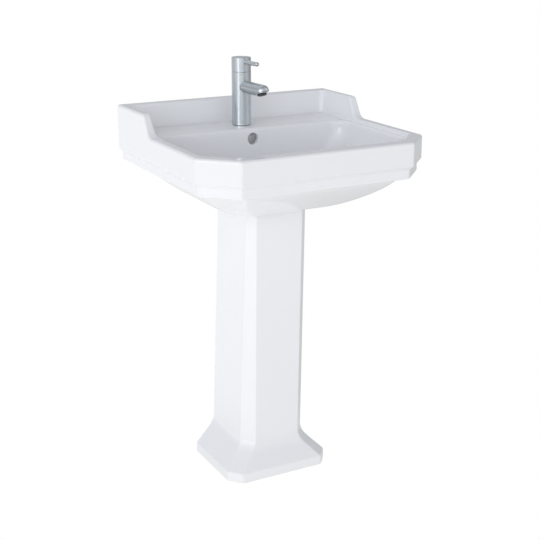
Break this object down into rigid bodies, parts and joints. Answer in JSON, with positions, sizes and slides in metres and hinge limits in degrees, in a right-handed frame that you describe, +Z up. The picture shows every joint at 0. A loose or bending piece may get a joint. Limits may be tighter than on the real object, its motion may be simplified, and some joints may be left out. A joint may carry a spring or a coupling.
{
  "type": "pedestal sink",
  "caption": "Traditional china basin with canted corners, stepped apron and swept upstand on a hollow flared pedestal, with a single-lever mixer, press waste and bottle trap.",
  "frame": {"origin": "on the floor, under the middle of the basin in width and depth", "axes": "+Z up, +X to the right of a person facing the sink, +Y from that person towards the wall"},
  "size_m": [0.56, 0.502, 0.991],
  "materials": {
    "glazed_china": "glossy white glaze",
    "polished_chrome": "polished chrome plate",
    "black_rubber": "matt black rubber",
    "plain_brass": "turned brass",
    "stainless_steel": "plain stainless steel",
    "valve_ceramic": "lapped white ceramic",
    "dark_plastic": "dark moulded plastic",
    "white_plastic": "white moulded plastic"
  },
  "bodies": {
    "root": {"aerator_insert": "dark_plastic", "aerator_ring": "polished_chrome", "aerator_seal": "black_rubber", "basin": "glazed_china", "cartridge_housing": "dark_plastic", "cartridge_nut": "plain_brass", "cartridge_seal": "black_rubber", "clamp_plate": "stainless_steel", "clamp_rubber": "black_rubber", "click_body": "plain_brass", "click_spring": "stainless_steel", "cold_bush": "plain_brass", "cold_riser": "plain_brass", "fixed_disc": "valve_ceramic", "hot_bush": "plain_brass", "hot_riser": "plain_brass", "pedestal": "glazed_china", "pedestal_seal": "black_rubber", "stud_nut": "plain_brass", "tap_base_seal": "black_rubber", "tap_body": "polished_chrome", "tap_spout": "polished_chrome", "tap_stud": "stainless_steel", "trap_body": "white_plastic", "trap_cup": "white_plastic", "trap_cup_seal": "black_rubber", "trap_dip_tube": "white_plastic", "trap_inlet_nut": "white_plastic", "trap_inlet_seal": "black_rubber", "trap_outlet_nut": "white_plastic", "trap_outlet_pipe": "white_plastic", "trap_outlet_seal": "black_rubber", "waste_back_nut": "plain_brass", "waste_body": "polished_chrome", "waste_bottom_seal": "black_rubber", "waste_top_seal": "black_rubber"},
    "cartridge_rotor": {"cartridge_rotor": "dark_plastic", "stem_pin": "stainless_steel"},
    "handle": {"handle_cap": "polished_chrome", "lever_rod": "polished_chrome", "handle_stem": "stainless_steel", "grub_screw": "stainless_steel"},
    "moving_disc": {"moving_disc": "valve_ceramic", "disc_carrier": "dark_plastic"},
    "plug": {"plug_cap": "polished_chrome", "plug_stem": "plain_brass", "plug_seal": "black_rubber"}
  },
  "joints": [
    {"name": "handle_turn", "type": "hinge", "parent": "root", "child": "cartridge_rotor", "pos_m": [0, 0.165, 0.953], "axis": [0, 0, 1], "range_deg": [-50, 50]},
    {"name": "handle_lift", "type": "hinge", "parent": "cartridge_rotor", "child": "handle", "pos_m": [0, 0.165, 0.9586], "axis": [-1, 0, 0], "range_deg": [0, 18]},
    {"name": "disc_slide", "type": "slide", "parent": "cartridge_rotor", "child": "moving_disc", "axis": [0, -1, 0], "range_m": [0, 0.0039]},
    {"name": "plug_press", "type": "slide", "parent": "root", "child": "plug", "axis": [0, 0, 1], "range_m": [0, 0.009], "deforming": ["click_spring"]}
  ],
  "couplings": [
    {"joint": "disc_slide", "follows": "handle_lift", "m_per_rad": 0.0124}
  ]
}
